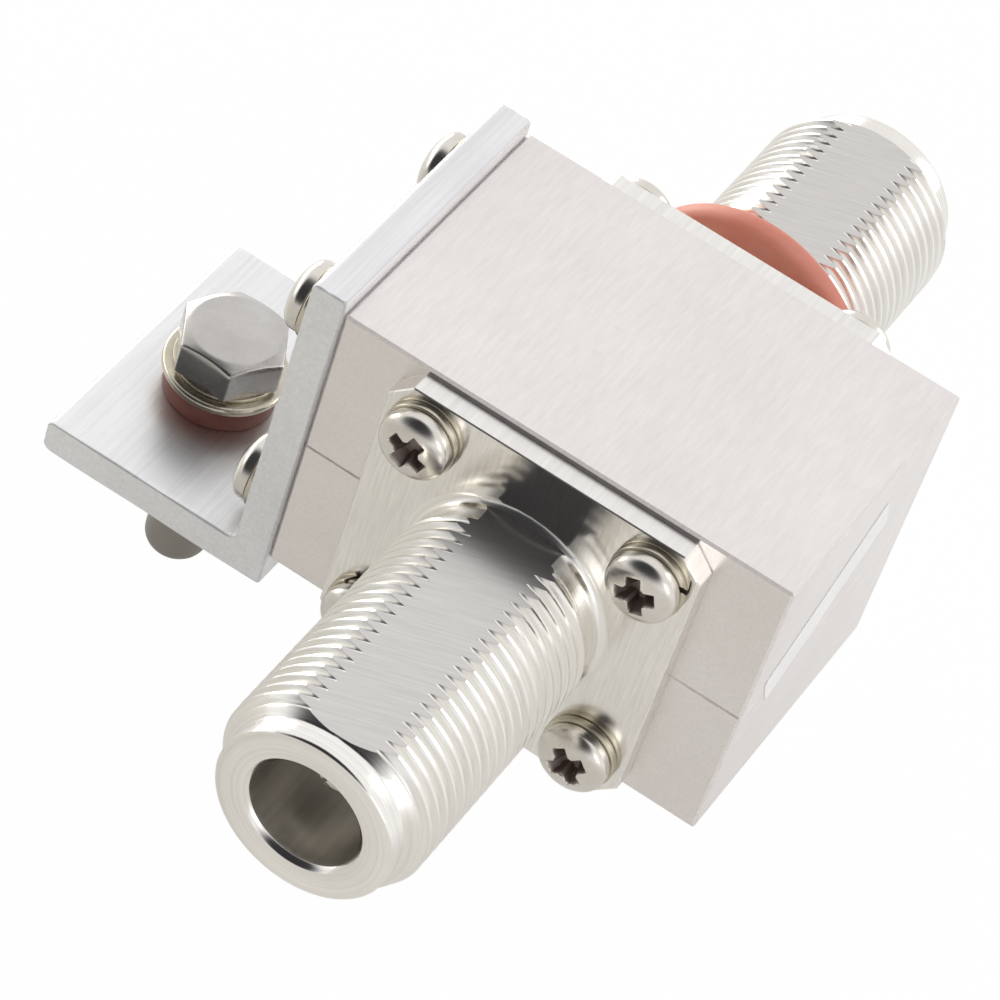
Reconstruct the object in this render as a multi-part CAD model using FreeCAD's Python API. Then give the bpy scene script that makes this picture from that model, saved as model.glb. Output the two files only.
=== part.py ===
import FreeCAD, Part

import math
import os

from FreeCAD import Vector as V

# Coax lightning arrestor: a two-part plated housing with a threaded coax jack
# on each end, an angle bracket on its left side and a ground bolt in the
# bracket's leg. Millimetres. The coax axis is the Y axis, +Z is up, and the
# origin is the mating reference plane inside the rear jack.

# Housing, parted in the plane of the coax axis
body_length = 24.74
body_left = 17.73
body_right = 18.21
body_rise = 13.05
body_drop = 12.25
body_edge = 0.2
body_foot_edge = 0.5
seam_edge = 0.12
end_wall = 4.0
chamber_half_width = 11.5
chamber_half_height = 7.0

# Coax jacks
flange_side = 25.04
flange_thick = 1.81
flange_corner = 1.69
flange_hole_pitch = 18.26
jack_reach = 25.9
collar_radius = 7.5
collar_length = 2.3
foot_edge = 0.7
thread_radius = 7.9375
thread_end_setback = 2.7
lead_length = 1.3
ring_radius = 6.8
ring_edge = 0.3
key_flat_height = 6.9
key_flat_start = 0.3
port_bore_radius = 4.25
port_bore_edge = 0.35
port_depth = 9.2
line_bore_radius = 3.5

# Inner conductor and insulators
contact_radius = 1.5
contact_setback = 4.2
contact_pin_hole = 0.83
contact_pin_depth = 5.5
contact_slot_width = 0.3
contact_slot_length = 4.5
contact_collar_radius = 2.2
contact_collar_length = 0.6
insulator_collar_radius = 4.6
insulator_collar_length = 1.2

# Fits
snug = 0.03
running = 0.04

# Flange screws
screw_radius = 1.5
screw_hole_play = 0.2
flange_screw_length = 8.0
screw_head_radius = 2.7
screw_head_height = 1.7
screw_head_side = 0.75
recess_width = 0.62
recess_span = 3.0
recess_depth = 1.0
tap_runout = 0.6
lock_washer_radius = 2.85
lock_washer_thick = 0.7
lock_washer_gap = 0.35

# Panel gasket, gripping the rear jack's plain shoulder, a little askew
gasket_radius = 10.4
gasket_thick = 1.95
gasket_stand = 4.2
gasket_edge = 0.4
gasket_tilt = 3.5
gasket_to_thread = 0.75

# Angle bracket with a short leg
bracket_thick = 2.75
bracket_proud = 0.4
bracket_short = 0.34
bracket_top = 14.45
leg_top = 12.05
leg_reach = 18.97
bracket_inner_fillet = 0.7
bracket_toe_round = 0.6
bracket_screw_pitch_y = 17.5
bracket_screw_pitch_z = 17.6
bracket_screw_mid_z = 0.8
bracket_screw_length = 7.0

# Ground bolt and its washers, in the leg
bolt_radius = 2.5
bolt_neck_relief = 0.3
bolt_neck_below = 0.3
bolt_length = 20.4
bolt_from_plate = 8.9
bolt_from_middle = 1.27
hex_flats = 7.6
hex_height = 3.25
hex_chamfer = 0.6
hex_turn = -1.5
bolt_end_round = 1.6
bolt_lock_radius = 4.0
bolt_lock_thick = 0.35
flat_washer_radius = 4.72
flat_washer_thick = 0.65
fibre_washer_radius = 4.25
fibre_washer_thick = 2.1

# Side label
label_length = 15.6
label_width = 4.0
label_thick = 0.1
label_turn = 29.0
label_from_middle = 1.9
label_rise = 3.4

# Parts inside the chamber
pin_radius = 1.5
pin_length = 6.0
pin_inset = 3.3
capacitor_radius = 2.5
capacitor_thick = 1.8
gas_tube_radius = 2.8
gas_tube_band = 0.25
spring_radius = 2.4
spring_leaf = 0.3
spring_height = 1.2
coil_radius = 2.0
coil_wire = 0.4
coil_turns = 3
coil_lead = 0.5
coil_gap = 0.17
coil_screw_head = 1.6
coil_screw_head_height = 0.9
coil_screw_radius = 1.0
coil_screw_depth = 3.0

# Stations along the coax axis, from the rear reference plane forwards
rear_mouth = port_depth
rear_face = rear_mouth - jack_reach
body_rear = rear_face - flange_thick
body_front = body_rear - body_length
front_face = body_front - flange_thick
front_mouth = front_face - jack_reach
body_mid = (body_front + body_rear) / 2
rear_collar_length = gasket_stand + gasket_thick + gasket_to_thread
bracket_front = body_front - bracket_proud
bracket_length = body_rear - bracket_short - bracket_front
# The gas tube stands halfway between the front contact's collar and the capacitor.
gas_tube_y = (body_front + end_wall + contact_collar_length + body_mid - capacitor_thick / 2) / 2
coil_y = body_rear - end_wall - contact_collar_length - coil_gap - coil_wire - coil_radius
coil_screw_y = coil_y - coil_radius

hole_half = flange_hole_pitch / 2
hole_places = [(x, z) for z in (hole_half, -hole_half) for x in (-hole_half, hole_half)]


def cylinder(radius, length, start, axis):
    return Part.makeCylinder(radius, length, V(*start), V(*axis))


def box(low, high):
    size = [h - l for l, h in zip(low, high)]
    return Part.makeBox(size[0], size[1], size[2], V(*low))


def revolve_profile(points):
    # Points are (distance along the axis, radius); the axis is +Y.
    wire = Part.makePolygon([V(r, a, 0) for a, r in points] + [V(points[0][1], points[0][0], 0)])
    return Part.Face(wire).revolve(V(0, 0, 0), V(0, 1, 0), 360)


def edges_where(shape, test):
    return [e for e in shape.Edges if test(e)]


def lies(edge, axis, value):
    b = edge.BoundBox
    low, high = {"x": (b.XMin, b.XMax), "y": (b.YMin, b.YMax), "z": (b.ZMin, b.ZMax)}[axis]
    return abs(low - value) < 1e-4 and abs(high - value) < 1e-4


def to_front(shape):
    # What the front jack has as well is the rear one's turned half round.
    return shape.rotated(V(0, body_mid, 0), V(0, 0, 1), 180)


# Housing halves
def line_tunnel(y_face, inward):
    # Bore for the insulator through one end wall, with its collar's seat.
    bore = cylinder(line_bore_radius, end_wall, (0, y_face, 0), (0, inward, 0))
    seat = cylinder(insulator_collar_radius + snug, insulator_collar_length, (0, y_face, 0), (0, inward, 0))
    return bore.fuse(seat)


def screw_taps():
    depth = flange_screw_length - lock_washer_thick - flange_thick + tap_runout
    tools = []
    for x, z in hole_places:
        tools.append(cylinder(screw_radius + snug, depth, (x, body_front, z), (0, 1, 0)))
        tools.append(cylinder(screw_radius + snug, depth, (x, body_rear, z), (0, -1, 0)))
    side = bracket_screw_length - lock_washer_thick - bracket_thick + tap_runout
    for y, z in bracket_screw_places():
        tools.append(cylinder(screw_radius + snug, side, (-body_left, y, z), (1, 0, 0)))
    return tools


def pin_places():
    return [(body_right - pin_inset, body_front + pin_inset), (-body_left + pin_inset, body_rear - pin_inset)]


def housing_tools():
    room = box((-chamber_half_width, body_front + end_wall, -chamber_half_height),
               (chamber_half_width, body_rear - end_wall, chamber_half_height))
    corners = edges_where(room, lambda e: abs(e.BoundBox.ZLength - 2 * chamber_half_height) < 1e-4)
    tools = [room.makeFillet(2.0, corners), line_tunnel(body_front, 1), line_tunnel(body_rear, -1)]
    for x, y in pin_places():
        tools.append(cylinder(pin_radius + snug, pin_length + 2 * snug, (x, y, -pin_length / 2 - snug), (0, 0, 1)))
    floor = -chamber_half_height
    tap = coil_screw_depth + tap_runout
    tools.append(cylinder(coil_screw_radius + snug, tap, (0, coil_screw_y, floor), (0, 0, -1)))
    return tools + screw_taps()


def housing_half(z_far, ease_far):
    # One blank for each direction of the edges, so that the corners meet cleanly. The
    # edges at the parting plane are broken too, so the seam shows as a fine groove.
    z_low, z_high = sorted((0, z_far))
    blank = box((-body_left, body_front, z_low), (body_right, body_rear, z_high))
    half = blank.makeChamfer(body_edge, edges_where(blank, lambda e: e.BoundBox.ZLength > body_edge))
    for axis, values in (("x", (-body_left, body_right)), ("y", (body_front, body_rear))):
        def along(shape, z):
            return edges_where(shape, lambda e: lies(e, "z", z) and any(lies(e, axis, v) for v in values))
        eased = blank.makeChamfer(seam_edge, along(blank, 0))
        half = half.common(ease_far(eased, along(eased, z_far)))
    return half.cut(housing_tools())


def housing_halves():
    upper = housing_half(body_rise, lambda shape, edges: shape.makeChamfer(body_edge, edges))
    lower = housing_half(-body_drop, lambda shape, edges: shape.makeFillet(body_foot_edge, edges))
    return upper, lower


def alignment_pins():
    pins = []
    for x, y in pin_places():
        pins.append(cylinder(pin_radius, pin_length, (x, y, -pin_length / 2), (0, 0, 1)))
    return Part.makeCompound(pins)


# Coax jack with its square flange, one solid, made at the rear end
def jack_shell(collar):
    start = rear_face
    thread_start = start + collar
    thread_end = rear_mouth - thread_end_setback
    ring_start = thread_end + lead_length
    rise = thread_radius - collar_radius
    barrel = revolve_profile([
        (start - flange_thick / 2, 0),
        (start - flange_thick / 2, collar_radius + foot_edge),
        (start, collar_radius + foot_edge),
        (start + foot_edge, collar_radius),
        (thread_start - rise, collar_radius),
        (thread_start, thread_radius),
        (thread_end, thread_radius),
        (ring_start, ring_radius),
        (rear_mouth - ring_edge, ring_radius),
        (rear_mouth, ring_radius - ring_edge),
        (rear_mouth, 0)])
    half = flange_side / 2
    key = box((-half, start + key_flat_start, key_flat_height), (half, rear_mouth + 1, half))
    flange = box((-half, body_rear, -half), (half, start, half))
    corners = edges_where(flange, lambda e: abs(e.BoundBox.YLength - flange_thick) < 1e-4)
    flange = flange.makeChamfer(flange_corner, corners)
    shell = flange.fuse(barrel).removeSplitter()
    shell = shell.cut(key)
    bore = revolve_profile([
        (body_rear - 1, 0),
        (body_rear - 1, line_bore_radius),
        (0, line_bore_radius),
        (0, port_bore_radius),
        (rear_mouth - port_bore_edge, port_bore_radius),
        (rear_mouth, port_bore_radius + port_bore_edge),
        (rear_mouth + 1, port_bore_radius + port_bore_edge),
        (rear_mouth + 1, 0)])
    tools = [bore]
    for x, z in hole_places:
        tools.append(cylinder(screw_radius + screw_hole_play, flange_thick + 2, (x, body_rear - 1, z), (0, 1, 0)))
    return shell.cut(tools)


def rear_insulator():
    inner = body_rear - end_wall
    tube = revolve_profile([
        (inner, contact_radius + snug),
        (inner, line_bore_radius - snug),
        (body_rear - insulator_collar_length, line_bore_radius - snug),
        (body_rear - insulator_collar_length, insulator_collar_radius),
        (body_rear, insulator_collar_radius),
        (body_rear, line_bore_radius - snug),
        (0, line_bore_radius - snug),
        (0, contact_radius + snug)])
    return tube


def rear_contact():
    tip = rear_mouth - contact_setback
    inner = body_rear - end_wall
    pin = revolve_profile([
        (body_mid + capacitor_thick / 2, 0),
        (body_mid + capacitor_thick / 2, contact_radius),
        (inner - contact_collar_length, contact_radius),
        (inner - contact_collar_length, contact_collar_radius),
        (inner, contact_collar_radius),
        (inner, contact_radius),
        (tip - 0.25, contact_radius),
        (tip, contact_radius - 0.25),
        (tip, contact_pin_hole + 0.15),
        (tip - 0.25, contact_pin_hole),
        (tip - contact_pin_depth, contact_pin_hole),
        (tip - contact_pin_depth - 0.4, 0)])
    reach = contact_radius + 0.5
    slots = []
    for across in (0, 90):
        slot = box((-reach, tip - contact_slot_length, -contact_slot_width / 2),
                   (reach, tip + 1, contact_slot_width / 2))
        slots.append(slot.rotated(V(0, 0, 0), V(0, 1, 0), across + 45))
    return pin.cut(slots)


# Screws: pan heads with a tapered cross recess, on split washers
def cross_recess(top):
    bars = []
    for across in (0, 90):
        half = recess_span / 2
        low = recess_span / 2 - recess_depth * 0.75
        web = Part.makePolygon([V(-half, 0, top + 0.01), V(half, 0, top + 0.01), V(low, 0, top - recess_depth),
                                V(-low, 0, top - recess_depth), V(-half, 0, top + 0.01)])
        bar = Part.Face(web).extrude(V(0, recess_width, 0)).translated(V(0, -recess_width / 2, 0))
        bars.append(bar.rotated(V(0, 0, 0), V(0, 0, 1), across))
    return bars[0].fuse(bars[1])


def pan_screw(radius, length, head_radius, head_height, side):
    # The axis is +Z and the head sits on the plane z = 0.
    line = [(0, -length), (radius, -length), (radius, 0), (head_radius, 0), (head_radius, side),
            (head_radius * 0.72, head_height), (0, head_height)]
    wire = Part.makePolygon([V(r, 0, z) for r, z in line + line[:1]])
    body = Part.Face(wire).revolve(V(0, 0, 0), V(0, 0, 1), 360)
    return body.cut(cross_recess(head_height))


def split_washer(inner, outer, thick, gap):
    # The axis is +Z; the ring lies on z = 0 and its slanted split faces +X.
    ring = cylinder(outer, thick, (0, 0, 0), (0, 0, 1))
    ring = ring.cut(cylinder(inner, thick + 2, (0, 0, -1), (0, 0, 1)))
    lean = thick * 0.6
    cut = Part.makePolygon([V(0, -gap / 2 - lean, -0.5), V(0, gap / 2 - lean, -0.5),
                            V(0, gap / 2 + lean, thick + 0.5), V(0, -gap / 2 + lean, thick + 0.5),
                            V(0, -gap / 2 - lean, -0.5)])
    return ring.cut(Part.Face(cut).extrude(V(outer + 1, 0, 0)))


def aim(shape, axis, place, turn):
    # Turns a +Z shape about its axis, lays it along the axis and moves it.
    shape = shape.rotated(V(0, 0, 0), V(0, 0, 1), turn)
    rotation = FreeCAD.Rotation(V(0, 0, 1), V(*axis))
    shape = shape.copy()
    shape.Placement = FreeCAD.Placement(V(*place), rotation).multiply(shape.Placement)
    return shape


def rear_flange_screws():
    screw = pan_screw(screw_radius, flange_screw_length, screw_head_radius, screw_head_height, screw_head_side)
    y = rear_face + lock_washer_thick
    turns = (20, 65, 40, 5)
    return Part.makeCompound([aim(screw, (0, 1, 0), (x, y, z), t) for (x, z), t in zip(hole_places, turns)])


def rear_lock_washers():
    washer = split_washer(screw_radius + screw_hole_play, lock_washer_radius, lock_washer_thick, lock_washer_gap)
    turns = (200, 130, 75, 300)
    return Part.makeCompound([aim(washer, (0, 1, 0), (x, rear_face, z), t)
                              for (x, z), t in zip(hole_places, turns)])


# Silicone gasket gripping the rear shoulder
def panel_gasket():
    disc = cylinder(gasket_radius, gasket_thick, (0, 0, 0), (0, 1, 0))
    disc = disc.makeChamfer(gasket_edge, [e for e in disc.Edges if e.Length > gasket_radius * math.pi])
    disc = disc.rotated(V(0, gasket_thick / 2, 0), V(0, 0, 1), -gasket_tilt)
    disc = disc.translated(V(0, rear_face + gasket_stand, 0))
    reach = gasket_radius
    hole = cylinder(collar_radius, 2 * reach, (0, rear_face + gasket_stand - reach, 0), (0, 1, 0))
    return disc.cut(hole)


# Bracket, bent from plate, with its four screws
def bracket_screw_places():
    half_y = bracket_screw_pitch_y / 2
    half_z = bracket_screw_pitch_z / 2
    mid = bracket_front + bracket_length / 2
    return [(mid + sy * half_y, bracket_screw_mid_z + sz * half_z) for sz in (1, -1) for sy in (-1, 1)]


bracket_outer = -body_left - bracket_thick
bolt_x = bracket_outer - bolt_from_plate
bolt_y = body_mid - bolt_from_middle
leg_bottom = -leg_top - bracket_thick


def ground_bracket():
    end = -body_left - leg_reach
    corner = [(-body_left, leg_bottom), (end, leg_bottom), (end, -leg_top), (bracket_outer, -leg_top),
              (bracket_outer, bracket_top), (-body_left, bracket_top)]
    wire = Part.makePolygon([V(x, bracket_front, z) for x, z in corner + corner[:1]])
    plate = Part.Face(wire).extrude(V(0, bracket_length, 0))

    def along(x, z):
        return [e for e in plate.Edges if lies(e, "x", x) and lies(e, "z", z)]
    plate = plate.makeFillet(bracket_inner_fillet, along(bracket_outer, -leg_top))
    toe = along(end, leg_bottom) + along(end, -leg_top)
    plate = plate.makeFillet(bracket_toe_round, toe)
    plate = plate.makeFillet(body_edge, along(-body_left, bracket_top) + along(bracket_outer, bracket_top))
    tools = [cylinder(bolt_radius + running, bracket_thick + 2, (bolt_x, bolt_y, leg_bottom - 1), (0, 0, 1))]
    for y, z in bracket_screw_places():
        tools.append(cylinder(screw_radius + screw_hole_play, bracket_thick + 2, (bracket_outer - 1, y, z), (1, 0, 0)))
    return plate.cut(tools)


def bracket_screws():
    screw = pan_screw(screw_radius, bracket_screw_length, screw_head_radius, screw_head_height, screw_head_side)
    x = bracket_outer - lock_washer_thick
    turns = (10, 55, 80, 30)
    return Part.makeCompound([aim(screw, (-1, 0, 0), (x, y, z), t)
                              for (y, z), t in zip(bracket_screw_places(), turns)])


def bracket_lock_washers():
    washer = split_washer(screw_radius + screw_hole_play, lock_washer_radius, lock_washer_thick, lock_washer_gap)
    turns = (95, 210, 150, 330)
    return Part.makeCompound([aim(washer, (-1, 0, 0), (bracket_outer, y, z), t)
                              for (y, z), t in zip(bracket_screw_places(), turns)])


# Ground bolt: washers stacked on the leg, then the hex head
fibre_top = -leg_top + fibre_washer_thick
flat_top = fibre_top + flat_washer_thick
lock_top = flat_top + bolt_lock_thick


def ring(radius, bottom, thick, edge):
    disc = cylinder(radius, thick, (bolt_x, bolt_y, bottom), (0, 0, 1))
    disc = disc.makeChamfer(edge, [e for e in disc.Edges if e.Length > radius * math.pi])
    return disc.cut(cylinder(bolt_radius + running, thick + 2, (bolt_x, bolt_y, bottom - 1), (0, 0, 1)))


def ground_lock_washer():
    washer = split_washer(bolt_radius + running, bolt_lock_radius, bolt_lock_thick, lock_washer_gap * 1.5)
    return aim(washer, (0, 0, 1), (bolt_x, bolt_y, flat_top), 125)


def ground_bolt():
    corners = hex_flats / math.sqrt(3)
    points = []
    for k in range(7):
        angle = math.radians(hex_turn + 60 * k)
        points.append(V(corners * math.cos(angle), corners * math.sin(angle), 0))
    head = Part.Face(Part.makePolygon(points)).extrude(V(0, 0, hex_height))
    # The cone that rounds off the head's top corners falls at 45 degrees.
    flat = corners - hex_chamfer
    fall = corners + 1 - flat
    cone = Part.makeCone(corners + 1, flat, fall, V(0, 0, hex_height - fall), V(0, 0, 1))
    below = cylinder(corners + 1, hex_height - fall, (0, 0, 0), (0, 0, 1))
    head = head.common(cone.fuse(below))
    shank = cylinder(bolt_radius, bolt_length, (0, 0, -bolt_length), (0, 0, 1))
    tip = edges_where(shank, lambda e: lies(e, "z", -bolt_length))
    shank = shank.makeFillet(bolt_end_round, tip)
    neck = lock_top - leg_bottom + bolt_neck_below
    sleeve = cylinder(bolt_radius + 1, neck, (0, 0, -neck), (0, 0, 1))
    core = cylinder(bolt_radius - bolt_neck_relief, neck, (0, 0, -neck), (0, 0, 1))
    shank = shank.cut(sleeve.cut(core))
    return head.fuse(shank).translated(V(bolt_x, bolt_y, lock_top))


# Label, a thin strip stuck at a slant on the right side
def side_label():
    strip = box((0, -label_length / 2, -label_width / 2), (label_thick, label_length / 2, label_width / 2))
    strip = strip.rotated(V(0, 0, 0), V(1, 0, 0), label_turn)
    return strip.translated(V(body_right, body_mid - label_from_middle, label_rise))


# Surge parts on the inner line
def blocking_capacitor():
    disc = cylinder(capacitor_radius, capacitor_thick, (0, body_mid - capacitor_thick / 2, 0), (0, 1, 0))
    return disc.makeChamfer(0.15, [e for e in disc.Edges if e.Length > capacitor_radius * math.pi])


def gas_tube():
    low = -chamber_half_height + spring_height
    height = -contact_radius - low
    cap = height / 4
    points = [(0, low), (gas_tube_radius, low), (gas_tube_radius, low + cap),
              (gas_tube_radius - gas_tube_band, low + cap), (gas_tube_radius - gas_tube_band, low + height - cap),
              (gas_tube_radius, low + height - cap), (gas_tube_radius, low + height), (0, low + height)]
    wire = Part.makePolygon([V(x, 0, z) for x, z in points + points[:1]])
    return Part.Face(wire).revolve(V(0, 0, 0), V(0, 0, 1), 360).translated(V(0, gas_tube_y, 0))


def gas_tube_spring():
    # A conical spring washer between the chamber floor and the tube.
    low = -chamber_half_height
    inner = spring_radius / 3
    points = [(spring_radius, low), (spring_radius, low + spring_leaf), (inner + spring_leaf, low + spring_height),
              (inner, low + spring_height), (inner, low + spring_height - spring_leaf), (spring_radius - 0.4, low)]
    wire = Part.makePolygon([V(x, 0, z) for x, z in points + points[:1]])
    return Part.Face(wire).revolve(V(0, 0, 0), V(0, 0, 1), 360).translated(V(0, gas_tube_y, 0))


def shunt_coil():
    # A close-wound coil with a leg up to the line and a leg down to the screw's head.
    low = -chamber_half_height + coil_screw_head_height + coil_lead
    high = -contact_radius - coil_lead
    step = (high - low) / coil_turns
    points = [(coil_radius - coil_wire, high), (coil_radius - coil_wire, low)]
    for k in range(coil_turns):
        points.append((coil_radius, low + k * step))
        points.append((coil_radius + coil_wire, low + (k + 0.5) * step))
    points.append((coil_radius, high))
    wire = Part.makePolygon([V(r, 0, z) for r, z in points + points[:1]])
    winding = Part.Face(wire).revolve(V(0, 0, 0), V(0, 0, 1), 360).translated(V(0, coil_y, 0))
    foot = cylinder(coil_wire, coil_lead + step / 2, (0, coil_screw_y, low - coil_lead), (0, 0, 1))
    head = cylinder(coil_wire, coil_lead + step / 2, (0, coil_y + coil_radius, -contact_radius), (0, 0, -1))
    return winding.fuse([foot, head])


def coil_ground_screw():
    floor = -chamber_half_height
    head = cylinder(coil_screw_head, coil_screw_head_height, (0, coil_screw_y, floor), (0, 0, 1))
    shank = cylinder(coil_screw_radius, coil_screw_depth, (0, coil_screw_y, floor), (0, 0, -1))
    return head.fuse(shank)


def build():
    upper, lower = housing_halves()
    rear = {
        "insulator": rear_insulator(),
        "contact": rear_contact(),
        "flange_screws": rear_flange_screws(),
        "lock_washers": rear_lock_washers(),
    }
    parts = {"upper_housing": upper, "lower_housing": lower, "alignment_pins": alignment_pins()}
    for name, shape in rear.items():
        parts["rear_" + name] = shape
        parts["front_" + name] = to_front(shape)
    parts["rear_jack_shell"] = jack_shell(rear_collar_length)
    parts["front_jack_shell"] = to_front(jack_shell(collar_length))
    parts["panel_gasket"] = panel_gasket()
    parts["ground_bracket"] = ground_bracket()
    parts["bracket_screws"] = bracket_screws()
    parts["bracket_lock_washers"] = bracket_lock_washers()
    parts["ground_bolt"] = ground_bolt()
    parts["ground_lock_washer"] = ground_lock_washer()
    parts["ground_flat_washer"] = ring(flat_washer_radius, fibre_top, flat_washer_thick, 0.25)
    parts["fibre_washer"] = ring(fibre_washer_radius, -leg_top, fibre_washer_thick, 0.2)
    parts["side_label"] = side_label()
    parts["blocking_capacitor"] = blocking_capacitor()
    parts["gas_tube"] = gas_tube()
    parts["gas_tube_spring"] = gas_tube_spring()
    parts["shunt_coil"] = shunt_coil()
    parts["coil_ground_screw"] = coil_ground_screw()
    return parts


os.makedirs("parts", exist_ok=True)
for name, shape in build().items():
    shape.exportStep("parts/" + name + ".step")
    print(name, len(shape.Solids), round(shape.Volume, 3), shape.isValid())
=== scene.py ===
import math

import bmesh
import bpy
import numpy as np
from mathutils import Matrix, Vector


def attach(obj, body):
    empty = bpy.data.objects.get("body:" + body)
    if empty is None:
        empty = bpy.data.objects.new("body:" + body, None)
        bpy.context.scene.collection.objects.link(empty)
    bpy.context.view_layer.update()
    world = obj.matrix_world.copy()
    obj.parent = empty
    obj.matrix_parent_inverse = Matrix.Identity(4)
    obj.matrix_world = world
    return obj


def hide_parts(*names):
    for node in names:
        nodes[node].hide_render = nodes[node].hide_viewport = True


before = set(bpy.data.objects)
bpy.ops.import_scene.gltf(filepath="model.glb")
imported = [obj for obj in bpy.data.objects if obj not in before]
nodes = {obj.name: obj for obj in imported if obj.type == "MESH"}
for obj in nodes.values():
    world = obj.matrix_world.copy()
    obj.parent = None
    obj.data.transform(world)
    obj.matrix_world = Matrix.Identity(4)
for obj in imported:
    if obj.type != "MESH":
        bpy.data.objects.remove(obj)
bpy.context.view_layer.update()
mm = 0.001

# Front and rear jack: each is one turned and milled piece of brass with its
# square flange, nickel plated, and its barrel carries the 24 to the inch thread
# with a flat milled along the top. They are screwed to the housing's ends.
flange_half = 12.52
flange_thick = 1.81
flange_corner = 1.69
jack_reach = 25.9
foot_radius = 8.2
collar_radius = 7.5
thread_radius = 7.9375
thread_depth = 0.6
thread_pitch = 25.4 / 24
thread_end = 23.2
ring_start = 24.5
ring_radius = 6.8
ring_round = 0.3
rear_collar = 6.9
front_collar = 2.3
key_flat = 6.9
socket_radius = 4.25
socket_depth = 9.2
line_radius = 3.5
rear_face_y = -16.7
front_face_y = -45.06
middle_y = (rear_face_y + front_face_y) / 2


def grid_faces(points, wrap_rows=False, wrap_cols=True, caps=False):
    """Joins a grid of points, row by row, into quads. A wrapped direction runs
    round to its start, and caps close the first and last row with a fan."""
    rows, cols = points.shape[:2]
    index = np.arange(rows * cols).reshape(rows, cols)
    if wrap_cols:
        index = np.hstack([index, index[:, :1]])
    if wrap_rows:
        index = np.vstack([index, index[:1]])
    quads = np.stack([index[:-1, :-1], index[:-1, 1:], index[1:, 1:], index[1:, :-1]], axis=-1)
    faces = quads.reshape(-1, 4).tolist()
    verts = points.reshape(-1, points.shape[-1])
    if caps:
        middles = np.stack([points[0].mean(axis=0), points[-1].mean(axis=0)])
        verts = np.vstack([verts, middles])
        for line, middle, turn in ((index[0], rows * cols, 1), (index[-1], rows * cols + 1, -1)):
            fan = np.stack([np.full(len(line) - 1, middle), line[1:], line[:-1]], axis=-1)
            faces += fan[:, ::turn].tolist()
    return verts, faces


def new_piece(name, meshes, sharp_angle=35.0):
    """Puts one or more point and face lists, in millimetres, into one object at
    the origin. Doubled points are merged and the faces are turned outwards. A
    fourth number of a point becomes its attribute named recess."""
    verts, faces, start = [], [], 0
    for points, polygons in meshes:
        verts.append(points)
        faces += [[k + start for k in polygon] for polygon in polygons]
        start += len(points)
    mesh = bpy.data.meshes.new(name)
    table = np.vstack(verts)
    mesh.from_pydata((table[:, :3] * mm).tolist(), [], faces)
    if table.shape[1] == 4:
        recess = mesh.attributes.new("recess", "FLOAT", "POINT")
        recess.data.foreach_set("value", table[:, 3].astype(np.float32))
    work = bmesh.new()
    work.from_mesh(mesh)
    bmesh.ops.remove_doubles(work, verts=work.verts, dist=0.002 * mm)
    bmesh.ops.dissolve_degenerate(work, dist=0.0005 * mm, edges=work.edges)
    bmesh.ops.recalc_face_normals(work, faces=work.faces)
    work.to_mesh(mesh)
    work.free()
    mesh.shade_smooth()
    mesh.set_sharp_from_angle(angle=math.radians(sharp_angle))
    piece = bpy.data.objects.new(name, mesh)
    bpy.context.scene.collection.objects.link(piece)
    return piece


def edge_angle(radius):
    """How far above the horizontal, in degrees, the flat cuts a circle round
    the axis. A circle that stays under the flat gets a narrow strip on top."""
    return np.degrees(np.arcsin(np.minimum(key_flat / radius, math.sin(math.radians(89.2)))))


def jack_columns():
    """Shares from -1 at the flat's left edge through 0 at the bottom to 1 at its
    right edge: even steps, and one on each corner of the flange."""
    half = 90 + edge_angle(collar_radius)
    corner = 45 - math.degrees(math.atan2(flange_half - flange_corner, flange_half))
    corners = [(q + side * corner - 270) / half for q in (135, 225, 315, 405) for side in (-1, 1)]
    return np.unique(np.round(np.concatenate([np.linspace(-1, 1, 106), corners]), 6))


def column_angles(share, left, right):
    """Degrees round the axis. The columns near an edge of the flat move with
    that edge, eased over the last fifth of their share, and the rest stay."""
    nominal = edge_angle(collar_radius)
    near = np.clip((abs(share) - 0.8) / 0.2, 0, 1)
    near = near * near * (3 - 2 * near)
    moved = np.where(share < 0, left, right) - nominal
    return 270 + share * (90 + nominal) + np.sign(share) * near * moved


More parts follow.
